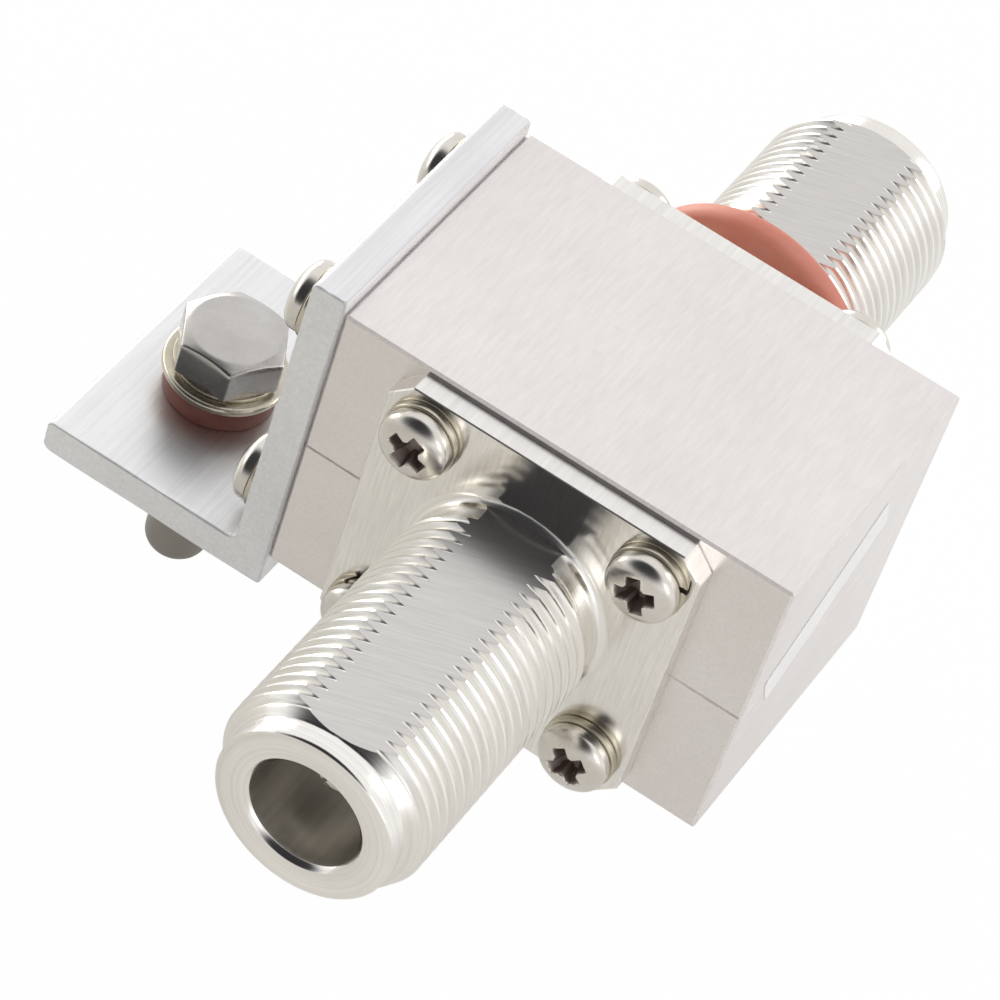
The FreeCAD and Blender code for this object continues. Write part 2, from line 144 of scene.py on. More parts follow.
def jack_surface(collar_length):
    """The jack's whole skin about +Y as rows of (x, distance from the flange's
    face, z). Each row runs from the flat's left edge round the bottom to its
    right edge and back across the flat. On the thread a row follows the helix,
    so that its distance is the pitch times its turns less the share of a turn
    run, which is right-handed, and its depth is that of one place in the
    groove. The lead-in cone and the flat cut the thread off."""
    share = jack_columns()
    across = np.array([0.2, 0.36, 0.5, 0.64, 0.8, 1.0])
    first, last = collar_length - 0.45, ring_start
    rows = []

    def add_row(x, u, z, top=None):
        """Closes a row over the top, level or along a circle of the radius top."""
        over = x[-1] + (x[0] - x[-1]) * across
        up = np.full(len(across), z[0]) if top is None else np.sqrt(top ** 2 - over ** 2)
        x, z = np.append(x, over), np.append(z, up)
        rows.append(np.column_stack([x, np.full(len(x), u), z]))

    def ring(u, radius, milled=True):
        """A round row, cut by the flat if milled."""
        edge = edge_angle(radius)
        turn = np.radians(column_angles(share, edge, edge))
        add_row(radius * np.cos(turn), u, radius * np.sin(turn), None if milled else radius)

    def square(u, inset):
        """A row of the flange: the nearer of its sides and its cut corners."""
        turn = np.radians(column_angles(share, edge_angle(collar_radius), edge_angle(collar_radius)))
        cos, sin = np.cos(turn), np.sin(turn)
        reach = np.minimum((flange_half - inset) / np.maximum(abs(cos), abs(sin)),
                           (2 * flange_half - flange_corner - inset * 1.414) / (abs(cos) + abs(sin)))
        add_row(reach * cos, u, reach * sin)

    def thread_radii(turns, u):
        """The crest less the groove's depth, which fades in, under the cone."""
        apart = abs((turns + 0.5) % 1.0 - 0.5)
        groove = np.interp(apart, (0, 0.07, 0.095, 0.12, 0.41, 0.45, 0.5),
                           (0, 0, 0.03, 0.1, 0.95, 0.99, 1))
        crest = np.minimum(thread_radius, collar_radius + (u - first))
        fade = np.minimum(1.0, (u - first) / (1.1 * thread_pitch))
        past_end = np.maximum(0.0, u - thread_end + 0.1)
        cone = thread_radius - 0.03 - past_end * (thread_radius - ring_radius) / 1.3
        return np.maximum(np.minimum(crest - thread_depth * fade * groove, cone), ring_radius)

    def helix(turns):
        """Rows of the thread, one to each start in turns. The angles of the
        flat's edges and the radii there depend on each other, so both are
        worked out six times."""
        left = right = np.full((len(turns), 1), edge_angle(collar_radius))
        for _ in range(6):
            angle = column_angles(share, left, right)
            u = np.clip(thread_pitch * (turns[:, None] - angle / 360), first, last)
            radius = thread_radii(turns[:, None], u)
            left, right = edge_angle(radius[:, :1]), edge_angle(radius[:, -1:])
        x, z = radius * np.cos(np.radians(angle)), radius * np.sin(np.radians(angle))
        z = np.minimum(z, key_flat)
        for k in (0, -1):
            z[:, k] = np.where(radius[:, k] > key_flat + 0.01, key_flat, z[:, k])
        return np.stack([x, u, z], axis=-1)

    ring(-flange_thick, line_radius)
    square(-flange_thick, 0.1)
    square(-flange_thick + 0.1, 0)
    square(-0.09, 0)
    square(0, 0.09)
    ring(0, foot_radius + 0.12, False)
    flat_starts = 0.3
    span = foot_radius - collar_radius
    for bend in np.radians(np.arange(0, 91, 15)):
        u, radius = span * (1 - math.cos(bend)), foot_radius - span * math.sin(bend)
        if u < flat_starts <= span * (1 - math.cos(bend + math.radians(15))):
            ring(u, radius, False)
            ring(flat_starts, collar_radius + 0.12, False)
            ring(flat_starts, collar_radius + 0.12)
        else:
            ring(u, radius, u >= flat_starts)
    for u in np.linspace(0.9, first, max(3, int(collar_length))):
        ring(u, collar_radius)
    start = (180 - edge_angle(collar_radius)) / 360
    places = np.array([0, 0.07, 0.095, 0.12, 0.22, 0.32, 0.41, 0.45, 0.5, 0.55, 0.59, 0.68, 0.78,
                       0.88, 0.905, 0.93])
    turns = (np.arange(0, last / thread_pitch + 3)[:, None] + places).ravel()
    turns = turns[(turns > first / thread_pitch + start - 0.12)
                  & (turns < last / thread_pitch + start + 1.12)]
    threaded = helix(turns)
    right_edge, left_edge = threaded[:, -1:], helix(turns - 1)[:, :1]
    over = right_edge + (left_edge - right_edge) * across[:, None]
    rows += list(np.concatenate([threaded, over], axis=1))
    ring(ring_start, ring_radius)
    ring(ring_start + 0.5, ring_radius)
    ring(jack_reach - 0.32, ring_radius)
    for bend in np.radians([22.5, 45, 67.5, 90]):
        ring(jack_reach - ring_round * (1 - math.sin(bend)),
             ring_radius - ring_round * (1 - math.cos(bend)))
    ring(jack_reach, socket_radius + 0.42)
    ring(jack_reach - 0.03, socket_radius + 0.37)
    ring(jack_reach - 0.33, socket_radius + 0.03)
    ring(jack_reach - 0.42, socket_radius)
    for u in np.linspace(jack_reach - 1.5, jack_reach - socket_depth, 6):
        ring(u, socket_radius)
    ring(jack_reach - socket_depth, line_radius)
    return np.stack(rows) + np.array([0, rear_face_y, 0])


def read(items, name, kind=np.int32, size=1):
    """One property of all items of a mesh, as a flat array."""
    values = np.empty(len(items) * size, dtype=kind)
    items.foreach_get(name, values)
    return values


def crisp_flat(piece, height):
    """Marks the edges between the faces that lie at the flat's height and the
    rest as sharp: an edge is one of them if one of its two faces is."""
    mesh = piece.data
    level = abs(read(mesh.vertices, "co", float, 3)[2::3] - height * mm) < 0.001 * mm
    corner_level = level[read(mesh.loops, "vertex_index")].astype(np.int32)
    start = read(mesh.polygons, "loop_start")
    flat_face = np.minimum.reduceat(corner_level, start)
    size = np.diff(np.append(start, len(mesh.loops)))
    touching = np.bincount(read(mesh.loops, "edge_index"), weights=np.repeat(flat_face, size),
                           minlength=len(mesh.edges))
    sharp = read(mesh.attributes["sharp_edge"].data, "value", bool)
    mesh.attributes["sharp_edge"].data.foreach_set("value", sharp | (touching == 1))


def turned(rows, turn):
    """Points about +Z from rows of radius and height, one to each angle."""
    return np.stack([np.column_stack([r * np.cos(turn), r * np.sin(turn), np.broadcast_to(z, turn.shape)])
                     for r, z in rows])


def turned_round(points):
    """Half a turn about the upright line through the housing's middle."""
    turned = points.copy()
    turned[..., 0] = -points[..., 0]
    turned[..., 1] = 2 * middle_y - points[..., 1]
    return turned


def group(name, inputs, outputs):
    """A shader node group with its end nodes. Its inputs are numbers or vectors,
    as their values are, and its outputs are numbers."""
    tree = bpy.data.node_groups.new(name, "ShaderNodeTree")
    for label, value in inputs.items():
        kind = "NodeSocketFloat" if isinstance(value, float) else "NodeSocketVector"
        tree.interface.new_socket(label, in_out="INPUT", socket_type=kind).default_value = value
    for label in outputs:
        tree.interface.new_socket(label, in_out="OUTPUT", socket_type="NodeSocketFloat")
    return tree, tree.nodes.new("NodeGroupInput"), tree.nodes.new("NodeGroupOutput")


def node(tree, kind, sockets=None, **settings):
    """A shader node of a kind, with its settings and unlinked socket values."""
    made = tree.nodes.new("ShaderNode" + kind)
    for key, value in settings.items():
        setattr(made, key, value)
    for key, value in (sockets or {}).items():
        made.inputs[key].default_value = value
    return made


def wire(tree, *joins):
    """Links sockets, each pair given as node, output, node, input."""
    for source, given, target, taken in joins:
        tree.links.new(source.outputs[given], target.inputs[taken])


def fine_lines_group():
    """Tool lines: a noise stretched many times along one direction, so that it
    reads as fine parallel scratches, as a height from 0 to 1."""
    tree, start, end = group("fine_lines", {"Vector": (0, 0, 0), "Stretch": (1, 1, 1), "Scale": 1.0},
                             ["Height"])
    scaled = node(tree, "VectorMath", operation="MULTIPLY")
    sized = node(tree, "VectorMath", operation="SCALE")
    coarse = node(tree, "TexNoise", {"Scale": 1.0, "Detail": 3.0, "Roughness": 0.65})
    wire(tree, (start, "Vector", scaled, 0), (start, "Stretch", scaled, 1), (scaled, 0, sized, 0),
         (start, "Scale", sized, "Scale"), (sized, 0, coarse, "Vector"), (coarse, "Fac", end, "Height"))
    return tree


def stains_group():
    """Handling marks and uneven plating: soft blotches with a few small spots,
    as a mask from 0, clean, to 1."""
    tree, start, end = group("stains", {"Vector": (0, 0, 0), "Scale": 100.0, "Spots": 0.3}, ["Mask"])
    cloud = node(tree, "TexNoise", {"Detail": 5.0, "Roughness": 0.6})
    ramp = node(tree, "MapRange", {"From Min": 0.38, "From Max": 0.72})
    finer = node(tree, "Math", {1: 9.0}, operation="MULTIPLY")
    speck = node(tree, "TexNoise", {"Detail": 2.0, "Roughness": 0.5})
    sharp = node(tree, "MapRange", {"From Min": 0.66, "From Max": 0.72})
    part = node(tree, "Math", operation="MULTIPLY")
    both = node(tree, "Math", operation="MAXIMUM")
    wire(tree, (start, "Vector", cloud, "Vector"), (start, "Scale", cloud, "Scale"),
         (start, "Scale", finer, 0), (finer, 0, speck, "Scale"), (start, "Vector", speck, "Vector"),
         (cloud, "Fac", ramp, "Value"), (speck, "Fac", sharp, "Value"), (sharp, "Result", part, 0),
         (start, "Spots", part, 1), (ramp, "Result", both, 0), (part, 0, both, 1), (both, 0, end, "Mask"))
    return tree


def turned_lines_group():
    """Marks of turning and milling on a jack, as a height from 0 to 1: rings by
    distance from the coax axis and along it, lines along Y on the flange's four
    edges, and inside the socket lines by the angle round the axis."""
    tree, start, end = group("turned_lines", {"Vector": (0, 0, 0), "Scale": 5000.0},
                             ["Height", "Socket", "Flat", "Edge", "Thread"])
    apart = node(tree, "SeparateXYZ")
    wire(tree, (start, "Vector", apart, 0))

    def math_node(operation, *terms):
        """One operation on sockets and numbers."""
        made = node(tree, "Math", operation=operation)
        for k, term in enumerate(terms):
            if isinstance(term, float):
                made.inputs[k].default_value = term
            else:
                tree.links.new(term, made.inputs[k])
        return made.outputs[0]

    def times(first, second):
        """The product of two sockets, or of a socket and a number."""
        return math_node("MULTIPLY", first, second)

    def noise(*parts):
        """Noise that runs with two or three sockets."""
        joined = node(tree, "CombineXYZ")
        for k, part in enumerate(parts):
            tree.links.new(part, joined.inputs[k])
        made = node(tree, "TexNoise", {"Scale": 1.0, "Detail": 3.0, "Roughness": 0.6})
        wire(tree, (joined, 0, made, "Vector"))
        return made.outputs["Fac"]

    def blend(factor, first, second):
        """The first where the factor is 0 and the second where it is 1."""
        made = node(tree, "Mix", data_type="FLOAT")
        for label, value in (("Factor", factor), ("A", first), ("B", second)):
            tree.links.new(value, made.inputs[label])
        return made.outputs["Result"]

    x, y, z = apart.outputs
    scale = start.outputs["Scale"]
    half_scale = times(scale, 0.5)
    radius = math_node("SQRT", math_node("ADD", times(x, x), times(z, z)))
    widest = math_node("MAXIMUM", math_node("ABSOLUTE", x), math_node("ABSOLUTE", z))
    from_flat = math_node("ABSOLUTE", math_node("SUBTRACT", z, key_flat * mm))
    in_thread = math_node("LESS_THAN", radius, (thread_radius + 0.02) * mm)
    outside = math_node("GREATER_THAN", widest, (flange_half - 0.07) * mm)
    plate = math_node("GREATER_THAN", radius, (foot_radius + 0.05) * mm)
    inside = math_node("LESS_THAN", radius, (socket_radius + 0.03) * mm)
    flat = times(math_node("LESS_THAN", from_flat, 0.02 * mm), in_thread)
    barrel = times(math_node("GREATER_THAN", radius, (ring_radius + 0.15) * mm), in_thread)
    thread = times(barrel, math_node("SUBTRACT", 1.0, flat))
    rings = noise(times(radius, scale), times(y, scale), times(x, 60.0))
    filed = noise(times(x, half_scale), times(z, half_scale), times(y, 150.0))
    drawn = noise(times(math_node("ARCTAN2", x, z), 7.0), times(y, 25.0))
    skew = math_node("SUBTRACT", y, times(x, 0.4))
    milled = noise(times(x, 250.0), times(skew, scale))
    brushed = noise(times(x, scale), times(z, 300.0), y)
    round_part = blend(flat, blend(plate, rings, blend(outside, brushed, filed)), milled)
    height = blend(inside, round_part, drawn)
    for label, given in (("Height", height), ("Socket", inside), ("Flat", flat), ("Edge", outside),
                         ("Thread", thread)):
        tree.links.new(given, end.inputs[label])
    return tree


fine_lines = fine_lines_group()
stains = stains_group()
turned_lines = turned_lines_group()
bump_distance = 0.02


def finish_material(name, clean, stained, rough_clean, rough_stained, metallic=1.0, stretch=(1, 1, 1),
                    line_scale=1200.0, line_height=0.15, blotch=300.0, spots=0.3, lines=None):
    """Base colour and roughness go from clean to stained by the stains' mask,
    and the fine lines make the bump, all on Object coordinates."""
    material = bpy.data.materials.new(name)
    material.use_nodes = True
    tree = material.node_tree
    shader = tree.nodes["Principled BSDF"]
    shader.inputs["Metallic"].default_value = metallic
    place = node(tree, "TexCoord")
    marks = node(tree, "Group", {"Scale": blotch, "Spots": spots}, node_tree=stains)
    tint = node(tree, "Mix", {"A": (*clean, 1), "B": (*stained, 1)}, data_type="RGBA")
    rough = node(tree, "MapRange", {"To Min": rough_clean, "To Max": rough_stained})
    own = {} if lines else {"Stretch": stretch, "Scale": line_scale}
    tool = node(tree, "Group", own, node_tree=lines or fine_lines, name="tool_lines")
    relief = node(tree, "Bump", {"Strength": line_height, "Distance": bump_distance * mm})
    wire(tree, (place, "Object", marks, "Vector"), (marks, "Mask", tint, "Factor"),
         (tint, "Result", shader, "Base Color"), (marks, "Mask", rough, "Value"),
         (rough, "Result", shader, "Roughness"), (place, "Object", tool, "Vector"),
         (tool, "Height", relief, "Height"), (relief, "Normal", shader, "Normal"))
    return material


def zone(material, mask, colour, rough):
    """Gives the place where a mask is 1 its own colour and roughness."""
    tree = material.node_tree
    shader = tree.nodes["Principled BSDF"]
    for label, kind, value in (("Base Color", "RGBA", (*colour, 1)), ("Roughness", "FLOAT", rough)):
        mix = node(tree, "Mix", {"B": value}, data_type=kind)
        tree.links.new(mask, mix.inputs["Factor"])
        tree.links.new(shader.inputs[label].links[0].from_socket, mix.inputs["A"])
        wire(tree, (mix, "Result", shader, label))


def slanted_faces(tree):
    """The socket of a mask, one where the squares of the normal's parts, squared
    again and added, come to less than 0.8: on edges and rounds, not on flats."""
    facing = node(tree, "TexCoord")
    squared = node(tree, "VectorMath", operation="MULTIPLY")
    fourth = node(tree, "VectorMath", operation="DOT_PRODUCT")
    slanted = node(tree, "Math", {1: 0.8}, operation="LESS_THAN")
    for k in (0, 1):
        wire(tree, (facing, "Normal", squared, k), (squared, 0, fourth, k))
    wire(tree, (fourth, "Value", slanted, 0))
    return slanted.outputs[0]


def tone_lines(material, tone):
    """Lets the tool lines show in the colour too, by a share up or down."""
    tree = material.node_tree
    shader, tool = tree.nodes["Principled BSDF"], tree.nodes["tool_lines"]
    share = node(tree, "MapRange", {"From Min": 0.3, "From Max": 0.7, "To Min": 1 - tone, "To Max": 1 + tone})
    scaled = node(tree, "VectorMath", operation="SCALE")
    tree.links.new(shader.inputs["Base Color"].links[0].from_socket, scaled.inputs[0])
    wire(tree, (tool, "Height", share, "Value"), (share, "Result", scaled, "Scale"),
         (scaled, 0, shader, "Base Color"))


def dress(piece, material):
    """Gives a piece one material in place of any it has."""
    piece.data.materials.clear()
    piece.data.materials.append(material)


jack_plate = finish_material("jack_plate", (0.88, 0.86, 0.82), (0.83, 0.80, 0.755), 0.13, 0.22,
                             line_height=0.08, blotch=90.0, lines=turned_lines)
# The milled flat's darker colour is painted shade; its higher roughness is the milled finish. The thread,
# edge and socket zones mostly change roughness.
for label, colour, rough in (("Thread", (0.88, 0.86, 0.82), 0.22), ("Flat", (0.64, 0.62, 0.60), 0.28),
                             ("Edge", (0.86, 0.84, 0.81), 0.38), ("Socket", (0.88, 0.85, 0.80), 0.34)):
    zone(jack_plate, jack_plate.node_tree.nodes["tool_lines"].outputs[label], colour, rough)
tone_lines(jack_plate, 0.07)
rear_skin, front_skin = jack_surface(rear_collar), turned_round(jack_surface(front_collar))
rear_jack = new_piece("rear_jack", [grid_faces(rear_skin, wrap_rows=True, wrap_cols=False)], 38)
front_jack = new_piece("front_jack", [grid_faces(front_skin, wrap_rows=True, wrap_cols=False)], 38)
for piece, cad in ((rear_jack, "rear_jack_shell"), (front_jack, "front_jack_shell")):
    crisp_flat(piece, key_flat)
    dress(piece, jack_plate)
    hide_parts(cad)
    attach(piece, "arrestor")

# Upper and lower half of the housing: milled blocks that meet in the plane of
# the coax line, satin nickel plated, with the tool's lines running along Y.
housing_plate = finish_material("housing_plate", (0.835, 0.797, 0.778), (0.80, 0.76, 0.735), 0.28, 0.36,
                                stretch=(1.0, 0.12, 1.0), line_scale=3500.0, line_height=0.25, blotch=90.0,
                                spots=0.6)
# Edges and rounds get a lighter colour, a painted highlight, together with their own dull rough finish.
zone(housing_plate, slanted_faces(housing_plate.node_tree), (0.92, 0.89, 0.87), 0.9)
tone_lines(housing_plate, 0.04)
for name in ("upper_housing", "lower_housing"):
    dress(nodes[name], housing_plate)

# Flange screws and bracket screws: pan heads with a cross recess, steel with a
# bright nickel plate that has gone a little yellow. Four hold each flange and
# four hold the bracket.
screw_radius = 1.5
flange_screw_length = 8.0
bracket_screw_length = 7.0
head_radius = 2.7
head_height = 1.7
head_side = 0.62
crown_power = 2.5
side_power = 1.9
recess_half = 1.58
recess_depth = 1.3
wing_half = 0.56
washer_thick = 0.7
hole_half = 9.13
screw_places = [(x, z) for z in (hole_half, -hole_half) for x in (-hole_half, hole_half)]


def pan_head(length):
    """A screw about +Z with its head's seat at z = 0. The crown falls from the
    middle to the rolled side as a superellipse does, and the recess is taken
    off it by the deeper of two tapered wings and a cone in the middle."""
    step = np.linspace(0, 1, 19) ** 1.3 * 45
    quarter = np.concatenate([-step[::-1], step[1:-1]])
    turn = np.radians(np.concatenate([quarter + q for q in (0, 90, 180, 270)]))
    cos, sin = np.cos(turn), np.sin(turn)
    outer = [(0.05, -length), (screw_radius - 0.35, -length), (screw_radius, -length + 0.35),
             (screw_radius, -0.02), (head_radius - 0.12, 0.0), (head_radius - 0.02, 0.08)]
    outer += [(head_radius, h) for h in (0.2, head_side)]
    lean = np.radians(np.linspace(84, 42, 9))
    rolled = head_radius * np.sin(lean) ** (2 / crown_power)
    radii = np.concatenate([rolled, np.linspace(rolled[-1] - 0.06, 0.1, 40)])
    fall = (1 - (radii / head_radius) ** crown_power) ** (1 / side_power)
    crown = head_side + (head_height - head_side) * fall
    r = np.concatenate([[a for a, _ in outer], radii])[:, None]
    z = np.concatenate([[b for _, b in outer], crown])[:, None] * np.ones_like(turn)
    x, y = r * cos, r * sin
    deep = np.zeros_like(x)
    for along, across in ((x, y), (y, x)):
        end = (recess_half - abs(along)) * 2.0
        side = (wing_half - abs(across)) * 4.5
        deep = np.maximum(deep, np.minimum(end, side))
    centre = (0.95 - r) * 3.0 * np.ones_like(turn)
    deep = np.clip(np.maximum(deep, centre), 0, recess_depth)
    z = np.where((deep > 0) & (z > head_side), np.minimum(z, head_height - 0.05 - deep), z)
    # The fourth number grows with depth in the recess; the screws' material uses it to paint shade into the
    # recess.
    return grid_faces(np.stack([x, y, z, np.clip(deep / 0.35, 0, 1)], axis=-1), caps=True)


def placed(mesh, axis, at, degrees):
    """Turns a +Z piece about its own axis, lays it along the axis given and
    moves it to its place: the points times the axis's frame, plus the place."""
    points, faces = mesh
    c, s = math.cos(math.radians(degrees)), math.sin(math.radians(degrees))
    moved = points[:, :3] @ np.array([[c, s, 0], [-s, c, 0], [0, 0, 1]])
    turn_to = np.array(Vector((0, 0, 1)).rotation_difference(Vector(axis)).to_matrix())
    return np.column_stack([moved @ turn_to.T + np.array(at), points[:, 3:]]), faces


def end_pieces(name, mesh, seat_y, turns):
    """A piece at each corner of the rear flange, turned about its own axis, in
    one object, and the same set at the front in another."""
    rear = [placed(mesh, (0, 1, 0), (x, seat_y, z), t) for (x, z), t in zip(screw_places, turns)]
    front = [(turned_round(points), faces) for points, faces in rear]
    return new_piece("rear_" + name, rear, 40), new_piece("front_" + name, front, 40)


screw_plate = finish_material("screw_plate", (0.76, 0.73, 0.68), (0.66, 0.625, 0.56), 0.20, 0.32,
                              line_scale=1500.0, line_height=0.12, blotch=320.0, spots=0.6)
# The cross recess is coloured dark brown by its depth: painted shade.
recess = node(screw_plate.node_tree, "Attribute", attribute_name="recess")
zone(screw_plate, recess.outputs["Fac"], (0.30, 0.25, 0.23), 0.45)
rear_screws, front_screws = end_pieces("flange_screw_set", pan_head(flange_screw_length),
                                       rear_face_y + washer_thick, (20, 65, 40, 5))
bracket_outer_x = -20.48
bracket_front_y = -43.65
bracket_rear_y = -18.85
bracket_middle_y = (bracket_front_y + bracket_rear_y) / 2
bracket_screw_places = [(bracket_middle_y + off, z) for z in (9.6, -8.0) for off in (-8.75, 8.75)]


def side_piece(name, mesh, seat_x, turns):
    """A piece at each place on the bracket, pointing left, in one object."""
    return new_piece(name, [placed(mesh, (-1, 0, 0), (seat_x, y, z), t)
                            for (y, z), t in zip(bracket_screw_places, turns)], 40)


bracket_screws = side_piece("bracket_screw_set", pan_head(bracket_screw_length),
                            bracket_outer_x - washer_thick, (10, 55, 80, 30))
for piece, cad in ((rear_screws, "rear_flange_screws"), (front_screws, "front_flange_screws"),
                   (bracket_screws, "bracket_screws")):
    dress(piece, screw_plate)
    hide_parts(cad)
    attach(piece, "arrestor")

# Split washers: rings of square spring wire with a slanted cut, one under each
# screw head and a larger one under the ground bolt's head, plated steel.


def split_ring(inner, outer, thick, gap_degrees, lift, round_edge=0.12):
    """A rounded square section carried round almost a full turn about +Z. One
    end stands a little higher than the other, and the cut leans with height."""
    corner = np.array([(sx, sz, math.cos(bend), math.sin(bend))
                       for sx, sz, first in ((1, 1, 0), (-1, 1, 90), (-1, -1, 180), (1, -1, 270))
                       for bend in np.radians(first + np.arange(0, 91, 30))])
    half_width, half_thick = (outer - inner) / 2 - round_edge, (thick - lift) / 2 - round_edge
    across = corner[:, 0] * half_width + corner[:, 2] * round_edge
    up = corner[:, 1] * half_thick + corner[:, 3] * round_edge
    share = np.linspace(0, 1, 88)[:, None]
    lean = up * 14.0 / (outer + inner) * 2
    turn = np.radians(gap_degrees / 2 + share * (360 - gap_degrees) + lean * 4)
    r = (outer + inner) / 2 + across
    z = thick / 2 + up + (share - 0.5) * lift
    points = np.stack([r * np.cos(turn), r * np.sin(turn), z * np.ones_like(turn)], axis=-1)
    return grid_faces(points, caps=True)


washer_steel = finish_material("washer_steel", (0.64, 0.59, 0.49), (0.47, 0.43, 0.34), 0.24, 0.38,
                               line_scale=2500.0, spots=0.6)
small_ring = split_ring(1.7, 2.85, washer_thick, gap_degrees=9.0, lift=0.06)
rear_rings, front_rings = end_pieces("split_washer_set", small_ring, rear_face_y, (200, 130, 75, 300))
bracket_rings = side_piece("bracket_split_washer_set", small_ring, bracket_outer_x, (95, 210, 150, 330))
for piece, cad in ((front_rings, "front_lock_washers"), (rear_rings, "rear_lock_washers"),
                   (bracket_rings, "bracket_lock_washers")):
    dress(piece, washer_steel)
    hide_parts(cad)
    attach(piece, "arrestor")

# Panel gasket: a moulded ring of orange-red silicone, two millimetres thick,
# that grips the rear jack behind the flange and sits a little askew.
gasket_radius = 10.4
gasket_thick = 1.95
gasket_round = 0.62
gasket_gap = 4.45
gasket_centre_y = rear_face_y + gasket_gap + gasket_thick / 2
gasket_askew = math.radians(6)


def gasket_surface():
    """A rounded rectangle carried round +Y, then turned about the upright line
    by the angle it sits at. The inner wall stays on the jack's shoulder."""
    turn = np.radians(np.arange(0, 360, 2.5))
    half = gasket_thick / 2
    section = [(collar_radius, -0.75), (collar_radius + 0.12, -half), (8.3, -half), (9.1, -half)]
    for bend in np.radians(np.arange(-90, 91, 18)):
        swell = math.copysign(abs(math.sin(bend)) ** 0.8, math.sin(bend))
        section.append((gasket_radius - gasket_round * (1 - math.cos(bend)), half * swell))
    section += [(9.1, half), (8.3, half), (collar_radius + 0.12, half), (collar_radius, 0.75)]
    r = np.array([a for a, _ in section])[:, None]
    y = np.array([b for _, b in section])[:, None] * np.ones_like(turn)
    x, z = r * np.cos(turn), r * np.sin(turn)
    lean = gasket_centre_y + y * math.cos(gasket_askew) - x * math.sin(gasket_askew)
    slid = x * math.cos(gasket_askew) + y * math.sin(gasket_askew)
    x = np.where(r < collar_radius + 0.01, x, slid)
    return np.stack([x, lean, z], axis=-1)


gasket_silicone = finish_material("gasket_silicone", (0.78, 0.26, 0.18), (0.83, 0.34, 0.26), 0.42, 0.60,
                                  metallic=0.0, line_scale=700.0, line_height=0.25, blotch=260.0, spots=0.2)
for label, value in (("Weight", 0.25), ("Radius", (0.8 * mm, 0.25 * mm, 0.15 * mm)), ("Scale", 1.0)):
    gasket_silicone.node_tree.nodes["Principled BSDF"].inputs["Subsurface " + label].default_value = value
gasket = new_piece("silicone_gasket", [grid_faces(gasket_surface(), wrap_rows=True)], 50)
dress(gasket, gasket_silicone)
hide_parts("panel_gasket")
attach(gasket, "arrestor")

# Angle bracket: a length of extruded aluminium angle, sawn off and deburred by
# hand, with a short leg at the bottom. It is screwed to the housing's left side.
plate_left_x = -17.73
plate_top_z = 14.45
leg_top_z = -12.05
leg_bottom_z = -14.8
leg_end_x = -36.7
angle_round = 0.45
leg_round = 0.7
seat_round = 0.25
broken_edge = 0.2


def bracket_surface():
    """The L outline with rounded corners, carried along Y. Near both ends the
    outline draws in along a quarter round, which is the broken edge, and that
    draw-in wavers a little, as filing by hand leaves it."""
    corners = [((plate_left_x, leg_bottom_z), seat_round, 1),
               ((plate_left_x, plate_top_z), seat_round, 1),
               ((bracket_outer_x, plate_top_z), angle_round, 1),
               ((bracket_outer_x, leg_top_z), leg_round, -1),
               ((leg_end_x, leg_top_z), angle_round, 1),
               ((leg_end_x, leg_bottom_z), leg_round, 1)]
    outline, normals = [], []
    for k, (point, radius, sense) in enumerate(corners):
        far, reach, _ = corners[(k + 1) % len(corners)]
        here = np.array(point)
        before, after = np.array(corners[k - 1][0]) - here, np.array(far) - here
        before, after = before / np.linalg.norm(before), after / np.linalg.norm(after)
        centre = here + (before + after) * radius
        for share in np.radians(np.linspace(0, 90, 7)):
            way = -after * math.cos(share) - before * math.sin(share)
            outline.append(centre + way * radius)
            normals.append(way * sense)
        start, stop = here + after * radius, np.array(far) - after * reach
        way = normals[-1]
        for part in np.linspace(0, 1, 14)[1:-1]:
            outline.append(start + (stop - start) * part)
            normals.append(way)
    outline, normals = np.array(outline), np.array(normals)
    rng = np.random.default_rng(7)
    waver = np.cumsum(rng.normal(0, 0.012, len(outline)))
    swell = 0.05 * np.sin(np.arange(len(outline)) * 0.9)
    waver = broken_edge + swell + np.clip(waver - waver.mean(), -0.05, 0.05)
    rows = []
    for end, sense in ((bracket_front_y, 1), (bracket_rear_y, -1)):
        part = []
        for bend in np.radians(np.linspace(0, 90, 5)):
            inset = waver * (1 - math.sin(bend))
            y = end + sense * waver * (1 - math.cos(bend))
            xz = outline - normals * inset[:, None]
            part.append(np.column_stack([xz[:, 0], y * np.ones(len(outline)), xz[:, 1]]))
        rows += part if sense == 1 else part[::-1]
    middle = [np.column_stack([outline[:, 0], np.full(len(outline), y), outline[:, 1]])
              for y in np.linspace(bracket_front_y + 0.6, bracket_rear_y - 0.6, 12)]
    points = np.stack(rows[:5] + middle + rows[5:])
    verts, faces = grid_faces(points)
    last = (points.shape[0] - 1) * points.shape[1]
    faces.append(list(range(points.shape[1])))
    faces.append(list(range(last, last + points.shape[1]))[::-1])
    return verts, faces


bracket_aluminium = finish_material("bracket_aluminium", (0.84, 0.84, 0.848), (0.78, 0.78, 0.787), 0.32, 0.42,
                                    stretch=(1.0, 0.03, 1.0), line_scale=3500.0, line_height=0.5, blotch=60.0)
zone(bracket_aluminium, slanted_faces(bracket_aluminium.node_tree), (0.80, 0.80, 0.81), 0.75)
tone_lines(bracket_aluminium, 0.06)
bracket = new_piece("angle_bracket", [bracket_surface()], 30)
dress(bracket, bracket_aluminium)
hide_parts("ground_bracket")
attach(bracket, "arrestor")

